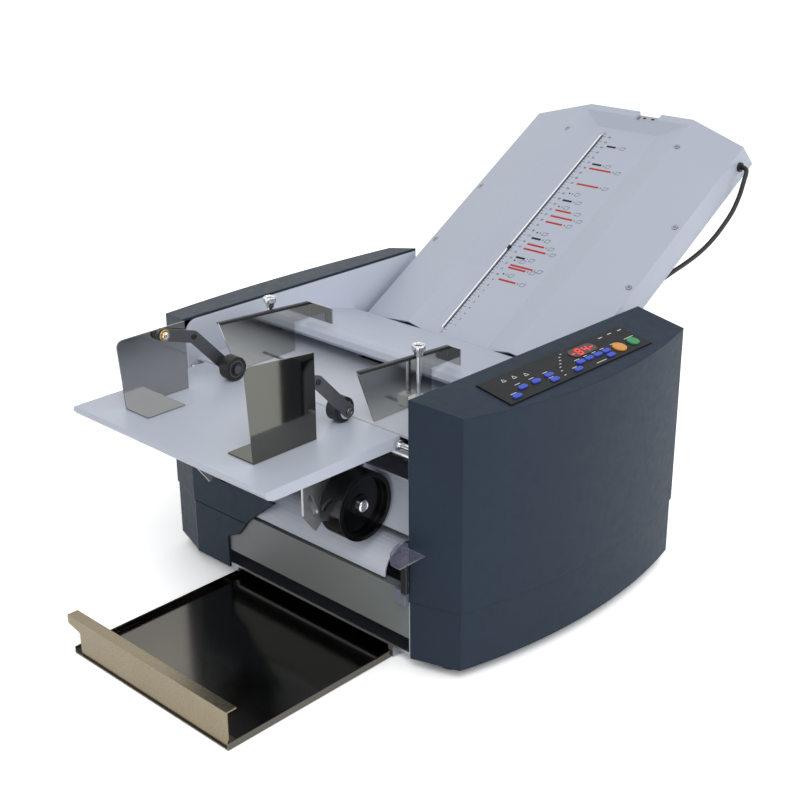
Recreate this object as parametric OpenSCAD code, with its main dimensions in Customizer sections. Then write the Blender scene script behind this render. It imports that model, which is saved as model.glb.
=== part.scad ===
// Desk paper folding machine, built as an assembly of separate pieces.
// X runs along the paper path, with the feed and stacker trays at -X and the
// fold plate rising towards +X. Y runs across it, with the keypad side at -Y.
// Z is up and Z = 0 is the desk.

/* [Body] */
// Distance between the inner faces of the two side walls
wall_gap = 356; // [340:1:380]
// Thickness of the moulded side walls
wall_t = 3; // [2:0.5:4]
// Thickness of the steel side frames
frame_t = 3; // [2:0.5:4]
// Air gap between a side wall and its steel frame
frame_gap = 3; // [2:0.5:5]
// Front of the body where covers and walls start, measured back from the origin
body_front = 203; // [195:1:215]
// Rear of the body, measured from the origin
body_back = 196; // [190:1:210]
// Wall thickness of the dark side covers
cover_t = 3; // [2:0.5:4]
// Height of the covers' top at its inner edge
cover_top = 318; // [312:1:330]
// Fall of the covers' top towards the outside, in degrees
top_fall = 10.4; // [6:0.2:12]
// Height of the parting line between upper and lower covers
part_z = 85; // [70:1:100]
// Step from the upper cover in to the lower cover
part_step = 1.5; // [0.5:0.5:3]
// How far the covers' outer front corners lie behind their inner ones
corner_back = 19; // [12:1:26]
// Half width at the outer front corners
half_front = 238; // [232:1:244]
// Half width at the middle of the keypad side cover
near_mid = 268; // [258:1:275]
// Half width at the rear of the keypad side cover
near_back = 246; // [240:1:252]
// Half width at the middle of the plain side cover
far_mid = 250; // [248:1:260]
// Half width at the rear of the plain side cover
far_back = 230; // [226:1:238]
// Thickness of the chassis plate
base_t = 3; // [2:0.5:4]
// Height of the chassis plate's turned-up rear
rear_z = 258; // [200:1:262]

/* [Feet] */
// Height of the rubber feet
foot_h = 14; // [12:1:18]
// Radius of the rubber feet
foot_r = 14; // [10:1:18]
// Distance of the feet from the middle, along the paper path
foot_x = 160; // [140:1:165]
// Distance of the feet from the middle, across the paper path
foot_y = 205; // [200:1:215]

/* [Keypad] */
// Length of the black keypad plate
pad_l = 250; // [245:1:256]
// Width of the black keypad plate
pad_w = 48; // [48:1:52]
// Thickness of the keypad plate
pad_t = 1.6; // [1:0.2:2]
// Distance of the keypad plate from the cover's inner edge
pad_in = 20; // [18:1:20]
// Length of the oblong keys
key_l = 13; // [10:0.5:13]
// Width of the oblong keys
key_w = 6; // [4.5:0.5:6]
// How far a key stands over the plate
key_up = 1.4; // [1.4:0.1:2]
// How far a key travels
key_travel = 1.2; // [0.8:0.1:1.3]
// Radius of the stop key
stop_key_r = 8.5; // [6:0.5:9]
// Radius of the start key
start_key_r = 7.5; // [6:0.5:9]
// Gap around and under the keys
key_gap = 0.3; // [0.2:0.05:0.4]
// Length of the number window
window_l = 44; // [36:1:46]
// Width of the number window
window_w = 16; // [12:1:17]
// Depth of the circuit board under the plate
board_z = 13; // [11:0.5:16]

/* [Feeding] */
// Length of the feed tray
tray_l = 184; // [170:1:200]
// Width of the feed tray
tray_w = 314; // [300:1:320]
// Sheet thickness of the feed tray
tray_t = 3; // [2:0.5:4]
// Height of the feed tray's top over the desk
tray_z = 268; // [266:1:270]
// Depth of the tray's side skirts
skirt_h = 14; // [12:1:16]
// Radius of the tray's hook pins
hook_r = 3; // [2:0.5:3.5]
// Thickness of the fixed feed table
table_t = 3; // [2:0.5:4]
// Drop from the feed tray's top to the feed table's top
table_drop = 1; // [0.5:0.1:1.5]
// Thickness of the stainless guide plates
plate_t = 1.5; // [1:0.1:2]
// Distance of the keypad side's plate on the tray from the middle
near_tail_y = 100; // [96:1:110]
// Distance of the plain side's plate on the tray from the middle
far_tail_y = 107; // [98:1:112]
// Length of a side plate on the tray
tail_l = 91; // [84:1:98]
// Height of the plain side's plate on the tray
tail_h = 79; // [74:1:88]
// Height of the keypad side's plate on the tray, at its rear edge
near_tail_h = 95; // [88:1:100]
// Radius of the paper rollers on the arms
paper_roll_r = 14; // [12:0.5:14.5]
// Width of the paper rollers
paper_roll_w = 14; // [10:0.5:15]
// Width of the arms that carry the paper rollers
arm_w = 14; // [12:0.5:15]
// Half distance between the two front guides
guide_y = 110; // [106:1:112]
// Radius of the clamp rods
rod_r = 3; // [2:0.5:3.5]
// Radius of the clamp knobs
knob_r = 7.5; // [6:0.5:9]
// Height of the clamp knobs
knob_h = 13; // [10:0.5:16]
// Half travel of the guides across the machine
guide_travel = 30; // [20:1:30]
// Radius of the feed roller
feed_r = 21.7; // [20:0.1:21.8]
// Length of the feed roller's rubber
feed_l = 80; // [60:1:100]
// Radius of the feed roller's shaft
feed_shaft_r = 5; // [4:0.5:6]

/* [Folding] */
// Slope of the fold plate, in degrees
fold_angle = 31; // [29:0.5:33]
// Width of the fold plate
fold_w = 330; // [310:1:334]
// Length of the fold plate below its reference point
fold_down = 102; // [98:1:104]
// Length of the fold plate's underside above its reference point
fold_up = 319; // [300:1:330]
// Wall thickness of the fold plate's shells
shell_t = 2.5; // [2:0.25:3]
// Total thickness of the fold plate at its edges
fold_t = 36; // [32:1:38]
// Depth of the lower shell's rim
rim_h = 5; // [4:0.5:8]
// Height of the two ridges over the fold plate's edges
ridge_h = 14; // [10:0.5:16]
// Height of the channel floor over the fold plate's edges
floor_h = 3; // [2.5:0.5:6]
// Distance of the ridges from the middle
ridge_y = 82; // [74:1:90]
// Width of the pointer slot
slot_w = 3; // [2.5:0.5:4]
// Thickness of the pointer of the fold stop
pointer_t = 2; // [1:0.1:2.1]
// Distance of the pointer slot from the middle
slot_y = 38; // [30:1:46]
// Pitch radius of the fold rollers' gears, half their centre distance
pitch_r = 20; // [19.6:0.1:20.2]
// Gap between two fold rollers
nip_gap = 0.6; // [0.4:0.1:1]
// Radius of the fold rollers' shafts
shaft_r = 6; // [5:0.5:7]
// Length of the fold rollers
roll_l = 330; // [300:1:340]
// Teeth of a fold roller's gear
teeth = 20; // [20:1:20]
// Teeth of the motor's pinion
pinion_teeth = 12; // [12:1:12]
// Width of the gears
gear_w = 8; // [6:0.5:9]
// Radius of the motor
motor_r = 25; // [20:0.5:26]
// Length of the motor
motor_l = 38; // [30:1:38]
// Radial clearance of a turning shaft in its bore
bore_gap = 0.05; // [0.02:0.01:0.08]
// Length of the second fold plate under the feed table
second_l = 160; // [140:1:165]

/* [Delivery] */
// Radius of the delivery wheels
wheel_r = 39; // [36:0.5:40]
// Width of a delivery wheel
wheel_w = 30; // [24:1:32]
// Distance of the delivery wheels' outer faces from the middle
wheel_y = 120; // [116:1:124]
// Radius of the delivery shaft
drive_shaft_r = 5; // [4:0.5:6]
// Thickness of the wheel brackets
bracket_t = 3; // [2:0.5:4]
// Sheet thickness of the delivery guides
deck_t = 2; // [1.5:0.25:2.5]
// Half width of the delivery guides
deck_half = 142; // [140:1:160]
// Lower edge of the front apron
apron_z0 = 37; // [34:1:42]
// Upper edge of the front apron
apron_z1 = 94; // [70:1:98]
// Length of the stacker tray
stack_l = 282; // [260:1:300]
// Distance of the stacker tray's outer end from the origin
stack_out = 431; // [420:1:440]
// Near edge of the stacker tray, measured from the middle
stack_near = 148; // [140:1:150]
// Far edge of the stacker tray, measured from the middle
stack_far = 115; // [105:1:120]
// Height of the stacker tray's side rails
rail_h = 8; // [6:0.5:10]
// Height of the stop plate at the stacker tray's end
stop_h = 43; // [36:1:50]
// Depth of the stop plate's folded top edge
stop_fold = 12; // [8:1:16]

/* [Cable] */
// Diameter of the fold plate's cable
cable_d = 6; // [5:0.5:8]

/* [Hidden] */
$fn = 64;

eps = 0.01;             // overshoot of a cut
seat = 0.3;             // gap between pieces that slide or lie on each other
dark = [0.19, 0.23, 0.28];
pale = [0.72, 0.75, 0.81];
light = [0.80, 0.82, 0.86];
steel = [0.62, 0.63, 0.64];
chrome = [0.80, 0.80, 0.82];
black = [0.05, 0.05, 0.06];

wall_in = wall_gap / 2;                    // inner face of a side wall
wall_out = wall_in + wall_t;               // covers start here
frame_in = wall_out + frame_gap;
frame_out = frame_in + frame_t;
corner_x = -body_front + corner_back;
base_top = foot_h + base_t;
table_top = tray_z - table_drop;
table_x0 = -186;                           // front edge of the feed table
table_x1 = -12;                            // rear edge of the feed table
fold_ref = [171, 308];                     // reference point of the fold plate
function fold_point(s, v) = fold_ref + s * [cos(fold_angle), sin(fold_angle)]
  + v * [-sin(fold_angle), cos(fold_angle)];

// The origin lies on the desk, under the middle of the whole machine
function bows_out(arc) = arc[1].y > (arc[0].y + arc[2].y) / 2;
function arc_reach(arc) = let (centre = circle_centre(arc[0], arc[1], arc[2]))
  bows_out(arc) ? centre.y + norm(arc[0] - centre) : max(arc[0].y, arc[2].y);
function cover_arc(mid, back) =
  [[corner_x, half_front], [(corner_x + body_back) / 2, mid], [body_back, back]];
near_arc = cover_arc(near_mid, near_back);
far_arc = cover_arc(far_mid, far_back);
mid_x = (fold_point(fold_up, -fold_t).x - stack_out) / 2;
mid_y = (arc_reach(far_arc) - arc_reach(near_arc)) / 2;
module at_origin() {
  translate([-mid_x, -mid_y, 0]) children();
}

// ---------- shared helpers ----------

// Extrudes an outline drawn in Y and Z along X
module along_x(x0, x1) {
  translate([x0, 0, 0]) rotate([90, 0, 90]) linear_extrude(x1 - x0) children();
}

// Extrudes an outline drawn in X and Z along Y
module along_y(y0, y1) {
  translate([0, y1, 0]) rotate([90, 0, 0]) linear_extrude(y1 - y0) children();
}

// A rod along Y at a point given in X and Z
module rod_y(p, r, y0, y1) {
  translate([p.x, y0, p.y]) rotate([-90, 0, 0]) cylinder(r = r, h = y1 - y0);
}

// Draws its children as they are, or mirrored to the keypad side
module on_side(side) {
  if (side > 0) children();
  else mirror([0, 1, 0]) children();
}

// Local frame whose X axis climbs at an angle from a point given in X and Z
module slanted(p, angle) {
  translate([p.x, 0, p.y]) rotate([0, -angle, 0]) children();
}

// A flat bar with round ends between two points
module bar_2d(p, q, w) {
  d = q - p;
  n = [-d.y, d.x] / norm(d) * w / 2;
  polygon([p + n, q + n, q - n, p - n]);
  translate(p) circle(d = w);
  translate(q) circle(d = w);
}

function polar(r, a) = [r * cos(a), r * sin(a)];

// Centre of the circle through three points
function circle_centre(a, b, c) =
  let (d = 2 * (a.x * (b.y - c.y) + b.x * (c.y - a.y) + c.x * (a.y - b.y)))
  [((a * a) * (b.y - c.y) + (b * b) * (c.y - a.y) + (c * c) * (a.y - b.y)) / d,
   ((a * a) * (c.x - b.x) + (b * b) * (a.x - c.x) + (c * c) * (b.x - a.x)) / d];

// ---------- body ----------

// Plan of a side cover: flat slanted ends and a bowed outer side
module cover_plan(mid, back, inset, inner_edge) {
  arc = cover_arc(mid, back);
  centre = circle_centre(arc[0], arc[1], arc[2]);
  r = norm(arc[0] - centre);
  if (bows_out(arc)) intersection() {
    cover_ends(mid, inset, inner_edge);
    translate(centre) circle(r = r - inset, $fn = 180);
  }
  else difference() {
    cover_ends(mid, inset, inner_edge);
    translate(centre) circle(r = r + inset, $fn = 180);
  }
}

module cover_ends(mid, inset, inner_edge) {
  reach = max(mid, half_front) + 40;
  slope = corner_back / (half_front - wall_out);
  polygon([[-body_front + inset - (wall_out - inner_edge) * slope, inner_edge],
    [-body_front + inset + (reach - wall_out) * slope, reach],
    [body_back - inset, reach], [body_back - inset, inner_edge]]);
}

// Space under a cover's falling top, lowered by an inset
module under_top(inset, inner_edge) {
  reach = near_mid + 60;
  fall = tan(top_fall);
  along_x(-body_front - 50, body_back + 50)
    polygon([[inner_edge, 0], [reach, 0],
      [reach, cover_top - inset - (reach - wall_out) * fall],
      [inner_edge, cover_top - inset - (inner_edge - wall_out) * fall]]);
}

module upper_cover(mid, back) {
  difference() {
    intersection() {
      translate([0, 0, part_z]) linear_extrude(cover_top) cover_plan(mid, back, 0, wall_out);
      under_top(0, wall_out);
    }
    intersection() {
      translate([0, 0, part_z - 1])
        linear_extrude(cover_top) cover_plan(mid, back, cover_t, wall_out - 1);
      under_top(cover_t, wall_out - 1);
    }
  }
}

module lower_cover(mid, back) {
  difference() {
    translate([0, 0, foot_h])
      linear_extrude(part_z - foot_h) cover_plan(mid, back, part_step, wall_out);
    translate([0, 0, base_top]) linear_extrude(part_z - foot_h)
      cover_plan(mid, back, part_step + cover_t, wall_out - 1);
  }
}

module cover_near_upper() {
  color(dark) difference() {
    mirror([0, 1, 0]) upper_cover(near_mid, near_back);
    on_pad() translate([pad_x0 + pad_edge, -pad_in - pad_w + pad_lip, -cover_t * 2])
      cube([pad_l - 2 * pad_edge, pad_w - pad_edge - pad_lip, cover_t * 3]);
  }
}
module cover_near_lower() {
  color(dark) mirror([0, 1, 0]) lower_cover(near_mid, near_back);
}

// The plain side's covers run on across the front, up to the delivery opening
wing_top = 129;
wing_groove = 1;
wing_x1 = -body_front + cover_t - seat;
module wing(root, outline) {
  bend = corner_back / (half_front - wall_out) * 3;
  intersection() {
    linear_extrude(cover_top)
      polygon([[-body_front, 0], [-body_front, wall_out - root], [-body_front + root + bend,
        wall_out + 3], [-body_front + root + bend + 2, wall_out + 3], [wing_x1, wall_out - root],
        [wing_x1, 0]]);
    along_x(-body_front - 1, -body_front + 10) polygon(outline);
  }
}
module cover_far_upper() {
  color(dark) {
    upper_cover(far_mid, far_back);
    wing(0, [[wall_out + 3, part_z], [wall_out + 3, wing_top], [stack_far - 84, wing_top],
      [stack_far - 37, part_z + 6], [stack_far - 32, part_z]]);
  }
}
module cover_far_lower() {
  top = part_z - wing_groove;
  color(dark) {
    lower_cover(far_mid, far_back);
    wing(part_step, [[wall_out + 3, foot_h], [wall_out + 3, top], [stack_far - 31, top],
      [stack_far - 17, top - 18], [stack_far + 4, top - 28], [stack_far + 4, foot_h]]);
  }
}

// Chassis plate with its rear turned up, the cable's way in and the stacker's runners
runner_l = 130;
runner_w = 3;
rear_t = base_t;
cable_hole = [-100, 236];                  // Y and Z of the cable's way in
module base_plate() {
  front = -body_front + 6;
  color(steel) {
    difference() {
      along_y(-wall_out, wall_out)
        polygon([[front, foot_h], [body_back, foot_h], [body_back, rear_z],
          [body_back - rear_t, rear_z], [body_back - rear_t, base_top], [front, base_top]]);
      translate([body_back - rear_t - 1, cable_hole.x, cable_hole.y])
        rotate([0, 90, 0]) cylinder(r = grommet_neck, h = rear_t + 2);
    }
    for (edge = [[-stack_near, 0], [stack_far, 1]])
      translate([front, edge[0], 0]) mirror([0, edge[1], 0]) along_x(0, runner_l)
        polygon([[-seat - runner_w, plate_t], [-seat, plate_t], [-seat, rail_h + seat],
          [plate_t + runner_w, rail_h + seat], [plate_t + runner_w, foot_h + eps],
          [-seat - runner_w, foot_h + eps]]);
  }
}

module rubber_feet() {
  color(black) for (x = [-foot_x, foot_x], y = [-foot_y, foot_y])
    translate([x, y, 0]) cylinder(r = foot_r, h = foot_h);
}

// Shafts and bars that cross the machine, as X and Z
feed_c = [-40, table_top + 0.7 - feed_r];
nip_1 = [45, 211];
roller_1 = nip_1 + polar(pitch_r, fold_angle + 90);
roller_2 = nip_1 - polar(pitch_r, fold_angle + 90);
roller_3 = roller_2 + polar(2 * pitch_r, -105);
roller_4 = roller_3 + polar(2 * pitch_r, -165);
rollers = [roller_1, roller_2, roller_3, roller_4];
bar_r = 6;
front_bar = [-180, 243];
hook_pin = [-194.5, tray_z - 8];
bars = [front_bar, fold_point(-12, -fold_t - bar_r), fold_point(-86, -fold_t - bar_r)];
frame_top = 300;
frame_x0 = -190;
frame_x1 = body_back - cover_t - 2;

// The holes that shafts and bars need in a plate across Y
module shaft_holes(gap, y0, y1) {
  for (p = rollers) rod_y(p, shaft_r + gap, y0, y1);
  rod_y(feed_c, feed_shaft_r + gap, y0, y1);
}

module side_frames() {
  color(steel) for (side = [-1, 1]) on_side(side) difference() {
    along_y(frame_in, frame_out)
      polygon([[frame_x0, base_top], [frame_x1, base_top], [frame_x1, frame_top - 30],
        [frame_x1 - 40, frame_top], [frame_x0 + 20, frame_top], [frame_x0, frame_top - 20]]);
    shaft_holes(bore_gap, frame_in - 1, frame_out + 1);
    for (p = bars) rod_y(p, bar_r, frame_in - 1, frame_out + 1);
  }
}

wall_hole = 3;                             // clearance of shafts in the walls
wall_top = cover_top - cover_t;
wall_round = 16;
wall_x0 = -body_front + 3;
wall_x1 = body_back - rear_t;
module inner_walls() {
  color(light) for (side = [-1, 1]) on_side(side) difference() {
    along_y(wall_in, wall_out) {
      translate([wall_x0, base_top])
        square([wall_x1 - wall_x0, wall_top - base_top - wall_round]);
      translate([wall_x0 + wall_round, wall_top - wall_round - eps])
        square([wall_x1 - wall_x0 - wall_round, wall_round + eps]);
      translate([wall_x0 + wall_round, wall_top - wall_round]) circle(r = wall_round);
    }
    shaft_holes(wall_hole, wall_in - 1, wall_out + 1);
    for (p = bars) rod_y(p, bar_r, wall_in - 1, wall_out + 1);
    rod_y(hook_pin, hook_r, wall_in - 1, wall_out + 1);
  }
}

// Three bars across the frames and the two hook pins of the feed tray
hook_head_r = 5;
module tie_bars() {
  color(chrome) {
    for (p = bars) rod_y(p, bar_r, -frame_out, frame_out);
    for (side = [-1, 1]) on_side(side) {
      rod_y(hook_pin, hook_r, tray_w / 2 - tray_t - 3, wall_out);
      rod_y(hook_pin, hook_head_r, tray_w / 2 + 2, tray_w / 2 + 5);
    }
  }
}

apron_t = 3;
apron_back = 12;
module front_apron() {
  color(pale) along_y(-wall_in, wall_in)
    polygon([[wall_x0, apron_z0], [wall_x0 + apron_t, apron_z0],
      [wall_x0 + apron_t, apron_z1 - apron_t], [wall_x0 + apron_back, apron_z1 - apron_t],
      [wall_x0 + apron_back, apron_z1], [wall_x0, apron_z1]]);
}

// ---------- keypad ----------

pad_x0 = -122;
pad_edge = 5;                              // rim of the plate on the cover
pad_lip = 3;                               // the same at its lower side
pad_post_r = 3;
board_t = 1.6;
key_skirt = 2.7;                           // height of a key's hidden collar
key_collar = 1;                            // how far the collar reaches out
stem_r = 1.5;
upper_row = -51;
lower_row = -60;
pad_x1 = pad_x0 + pad_l;
// The left group is placed from the plate's left end, the rest from its right end
keys = [[pad_x0 + 39, upper_row], [pad_x0 + 61, upper_row], [pad_x0 + 84, upper_row + 1],
  [pad_x0 + 19, lower_row], [pad_x0 + 82, lower_row], [pad_x1 - 111.5, upper_row],
  [pad_x1 - 96, upper_row], [pad_x1 - 80.5, upper_row], [pad_x1 - 65, upper_row],
  [pad_x1 - 127, lower_row], [pad_x1 - 68, lower_row]];
stop_key_at = [pad_x1 - 44, -54];
start_key_at = [pad_x1 - 18, -54];
window_at = [pad_x1 - 88, -35];

// Local frame on the keypad side's falling top: X, then up the slope, then out
module on_pad() {
  translate([0, -wall_out, cover_top]) rotate([top_fall, 0, 0]) children();
}

module oblong(l, w) {
  translate([-(l - w) / 2, 0]) circle(d = w);
  translate([(l - w) / 2, 0]) circle(d = w);
  square([l - w, w], center = true);
}

module keypad_plate() {
  color(black) on_pad() linear_extrude(pad_t) difference() {
    translate([pad_x0, -pad_in - pad_w]) square([pad_l, pad_w]);
    for (k = keys) translate(k) oblong(key_l + 2 * key_gap, key_w + 2 * key_gap);
    translate(stop_key_at) circle(r = stop_key_r + key_gap);
    translate(start_key_at) circle(r = start_key_r + key_gap);
    translate(window_at) oblong(window_l, window_w);
  }
}

module number_window() {
  color("darkred") on_pad() translate([0, 0, -1]) linear_extrude(pad_t + 1.6)
    translate(window_at) oblong(window_l, window_w);
}

module circuit_board() {
  x0 = pad_x0 + pad_edge + 1;
  y0 = -pad_in - pad_w + pad_lip + 1;
  l = pad_l - 2 * pad_edge - 2;
  w = pad_w - pad_edge - pad_lip - 2;
  color("darkgreen") on_pad() {
    translate([x0, y0, -board_z - board_t]) cube([l, w, board_t]);
    for (x = [x0 + pad_post_r, x0 + l - pad_post_r])
      translate([x, y0 + w - pad_post_r, -board_z]) cylinder(r = pad_post_r, h = board_z);
  }
}

// One key: cap, collar under the plate and stem above the board
module key_body(at) {
  on_pad() translate([at.x, at.y, 0]) {
    translate([0, 0, -key_gap]) linear_extrude(key_gap + pad_t + key_up) children(0);
    translate([0, 0, -key_gap - key_skirt]) linear_extrude(key_skirt) children(1);
    translate([0, 0, key_travel + key_gap - board_z])
      cylinder(r = stem_r, h = board_z - key_travel - 2 * key_gap - key_skirt + eps);
  }
}

module blue_key(i) {
  color([0.29, 0.42, 0.92]) key_body(keys[i]) {
    oblong(key_l, key_w);
    oblong(key_l + 2 * key_collar, key_w + 2 * key_collar);
  }
}

module round_key(at, r) {
  key_body(at) {
    circle(r = r);
    circle(r = r + key_collar);
  }
}

module stop_key() {
  color("orange") round_key(stop_key_at, stop_key_r);
}
module start_key() {
  color("seagreen") round_key(start_key_at, start_key_r);
}

// ---------- feeding ----------

// Hood over the feed roller: a rounded nose, then a fall towards the fold plate
hood_t = 3;
hood_nose = [-84, 289];
hood_high = [-66, 299];
hood_end = [74, 264];
function hood_under(x) = hood_high.y - hood_t
  + (x - hood_high.x) * (hood_end.y - hood_high.y) / (hood_end.x - hood_high.x);
module feed_hood() {
  color(pale) along_y(-wall_in, wall_in)
    polygon([[hood_nose.x + 6, hood_nose.y - 6], hood_nose,
      [hood_nose.x + 3, hood_high.y - 3.5], [hood_nose.x + 9, hood_high.y - 0.7],
      hood_high, hood_end, [hood_end.x, hood_under(hood_end.x)],
      [hood_high.x, hood_under(hood_high.x)], [hood_nose.x + 9, hood_high.y - 5.5],
      [hood_nose.x + 5, hood_nose.y], [hood_nose.x + 9, hood_nose.y - 6]]);
}

feed_slot = [feed_r * 1.3, feed_l + 4];    // opening for the feed roller
guide_rod_x = -121;                        // clamp rods, along the paper path
rod_out = 9;                               // clamp rods, outside their guides
module feed_table() {
  color(light) difference() {
    translate([table_x0, -wall_in, table_top - table_t])
      cube([table_x1 - table_x0, wall_gap, table_t]);
    translate([feed_c.x - feed_slot.x / 2, -feed_slot.y / 2, table_top - table_t - 1])
      cube([feed_slot.x, feed_slot.y, table_t + 2]);
    for (side = [-1, 1]) on_side(side)
      translate([guide_rod_x - rod_r - seat, guide_y + rod_out - guide_travel - rod_r - 1,
        table_top - table_t - 1])
        cube([2 * (rod_r + seat), 2 * (guide_travel + rod_r + 1), table_t + 2]);
  }
}

pad_half = 20;
pad_from = -50;
pad_to = -30;
module separator_pad() {
  low = table_top + 1.2;
  color("saddlebrown") along_y(-pad_half, pad_half)
    polygon([[pad_from, low], [pad_to, low], [pad_to, hood_under(pad_to)],
      [pad_from, hood_under(pad_from)]]);
}

module feed_roller() {
  color(black) {
    difference() {
      rod_y(feed_c, feed_r, -feed_l / 2, feed_l / 2);
      rod_y(feed_c, feed_shaft_r, -feed_l, feed_l);
    }
    rod_y(feed_c, feed_shaft_r, -frame_out - 3, frame_out + 3);
  }
}

// Feed tray: a top sheet with side skirts and a turned-down outer lip
tray_x0 = -body_front + 13 - tray_l - 2;
tray_x1 = -190;
module feed_tray() {
  color(light) difference() {
    union() {
      along_y(-tray_w / 2, tray_w / 2)
        polygon([[tray_x0, tray_z - 4], [tray_x0 + 1.5, tray_z], [tray_x1, tray_z],
          [tray_x1, tray_z - tray_t], [tray_x0 + 10, tray_z - tray_t],
          [tray_x0 + 7, tray_z - 9], [tray_x0 + 4, tray_z - 9]]);
      for (side = [-1, 1]) on_side(side) along_y(tray_w / 2 - tray_t, tray_w / 2)
        polygon([[tray_x0 + 4, tray_z - 9], [tray_x0 + 10, tray_z - tray_t],
          [tray_x1, tray_z - tray_t], [tray_x1, tray_z - skirt_h],
          [tray_x0 + 12, tray_z - skirt_h + 2]]);
    }
    rod_y(hook_pin, hook_r + bore_gap, -tray_w, tray_w);
  }
}

// Side plates on the tray, each with a foot, a pivot pin and a roller arm
tail_x0 = -347;
tail_round = 8;
tail_fall = 8;                             // how far the near plate's top falls to the rear
tail_z = tray_z + seat;
foot_l = 50;
foot_w = 38;
pivot = [-290, tail_z + tail_h - 6];
pivot_r = 2.5;
elbow = [-248, 328];
paper_c = [-205, tray_z + seat + paper_roll_r];
arm_t = 3;
arm_in = 5;                                // from a plate's inner face to its arm's
axle_r = 3;
module tray_guide(y0, front_h, rear_h, pin_out) {
  slope = atan((front_h - rear_h) / (tail_l - tail_round));
  corner = [tail_x0 + tail_round, tail_z + front_h - tail_round];
  difference() {
    along_y(y0, y0 + plate_t)
      polygon(concat([[tail_x0 + 6, tail_z], [tail_x0 + tail_l, tail_z],
        [tail_x0 + tail_l, tail_z + rear_h]],
        [for (i = [0:6]) corner + polar(tail_round, 90 - slope + (90 + slope) * i / 6)]));
    if (pin_out > 0) rod_y(pivot, pivot_r, y0 - 1, y0 + plate_t + 1);
  }
  translate([tail_x0 + 6, y0 - foot_w, tail_z]) cube([foot_l, foot_w, plate_t]);
  rod_y(pivot, pivot_r, y0 - arm_in - 1, y0 + (pin_out > 0 ? plate_t + pin_out : plate_t / 2));
  rod_y(pivot, pivot_r + 3, y0 - arm_in - 3, y0 - arm_in - seat);
}
module tray_guide_near() {
  color(chrome) on_side(-1) tray_guide(near_tail_y, near_tail_h + tail_fall, near_tail_h, 0);
}
module tray_guide_far() {
  color(chrome) on_side(1) tray_guide(far_tail_y, tail_h, tail_h, 1);
}

module roller_arm(y0) {
  arm_y = y0 - arm_in;
  difference() {
    union() {
      along_y(arm_y, arm_y + arm_t) {
        bar_2d(pivot, elbow, arm_w);
        bar_2d(elbow, paper_c, arm_w);
      }
      rod_y(pivot, arm_w / 2, arm_y, y0 - seat);
    }
    rod_y(pivot, pivot_r + bore_gap, arm_y - 1, y0 + 1);
  }
  rod_y(paper_c, axle_r, arm_y - paper_roll_w - 7, arm_y);
  rod_y(paper_c, axle_r + 3, arm_y - 4, arm_y);
  rod_y(paper_c, axle_r + 2, arm_y - paper_roll_w - 7, arm_y - paper_roll_w - 4 - 2 * seat);
}
module roller_arm_near() {
  color(steel) on_side(-1) roller_arm(near_tail_y);
}
module roller_arm_far() {
  color(steel) on_side(1) roller_arm(far_tail_y);
}

module paper_roller(y0) {
  y1 = y0 - arm_in - 4 - seat;
  difference() {
    rod_y(paper_c, paper_roll_r, y1 - paper_roll_w, y1);
    rod_y(paper_c, axle_r + bore_gap, y1 - paper_roll_w - 1, y1 + 1);
  }
}
module paper_roller_near() {
  color(black) on_side(-1) paper_roller(near_tail_y);
}
module paper_roller_far() {
  color(black) on_side(1) paper_roller(far_tail_y);
}

// Front guides: a hemmed plate over the hood's nose, a clamp block and a flange
guide_x0 = -206;
guide_x1 = -66;
guide_z0 = table_top + seat;
guide_tops = [331, 322];
guide_step_x = hood_nose.x - 8;
guide_step_z = hood_high.y + 4;
hem = 3;
block_l = 18;
block_h = 13;
block_w = 15;
module front_guide(flange_in, flange_out) {
  along_y(guide_y, guide_y + plate_t)
    polygon([[guide_x0, guide_tops[0]], [guide_x0 + 24, guide_z0], [guide_step_x, guide_z0],
      [guide_step_x, guide_step_z], [guide_x1, guide_step_z], [guide_x1, guide_tops[1]]]);
  along_y(guide_y + plate_t, guide_y + plate_t + hem)
    polygon([[guide_x0, guide_tops[0]], [guide_x0 + 2, guide_tops[0] - 3],
      [guide_x1, guide_tops[1] - 3], [guide_x1, guide_tops[1]]]);
  translate([guide_x1, guide_y - flange_in, guide_step_z])
    cube([plate_t, flange_in + plate_t + flange_out, guide_tops[1] - guide_step_z]);
  difference() {
    translate([guide_rod_x - block_l / 2, guide_y + plate_t, guide_z0])
      cube([block_l, block_w, block_h]);
    translate([guide_rod_x, guide_y + rod_out, guide_z0 - 1])
      cylinder(r = rod_r + bore_gap, h = block_h + 2);
  }
}
module front_guide_near() {
  color(chrome) on_side(-1) front_guide(0, 18);
}
module front_guide_far() {
  color(chrome) on_side(1) front_guide(38, 0);
}

knob_z = 327;
nut_r = 8;
nut_h = 6;
module clamp_knob() {
  translate([guide_rod_x, guide_y + rod_out, 0]) {
    translate([0, 0, table_top - table_t - seat - nut_h]) cylinder(r = nut_r, h = nut_h);
    translate([0, 0, table_top - table_t - seat]) cylinder(r = rod_r, h = knob_z - table_top + 4);
    translate([0, 0, knob_z]) cylinder(r = knob_r, h = knob_h);
  }
}
module clamp_knob_near() {
  color(chrome) on_side(-1) clamp_knob();
}
module clamp_knob_far() {
  color(chrome) on_side(1) clamp_knob();
}

// ---------- folding ----------

module on_fold() {
  slanted(fold_ref, fold_angle) children();
}

fold_half = fold_w / 2;
floor_near = -42;                          // near edge of the channel floor
floor_far = 56;                            // far edge of the channel floor
shell_split = -fold_t + rim_h;
ridge_out = 11;                            // how far the ridges reach past the underside
side_back = 9;                             // how far the upper edges end before it

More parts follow.
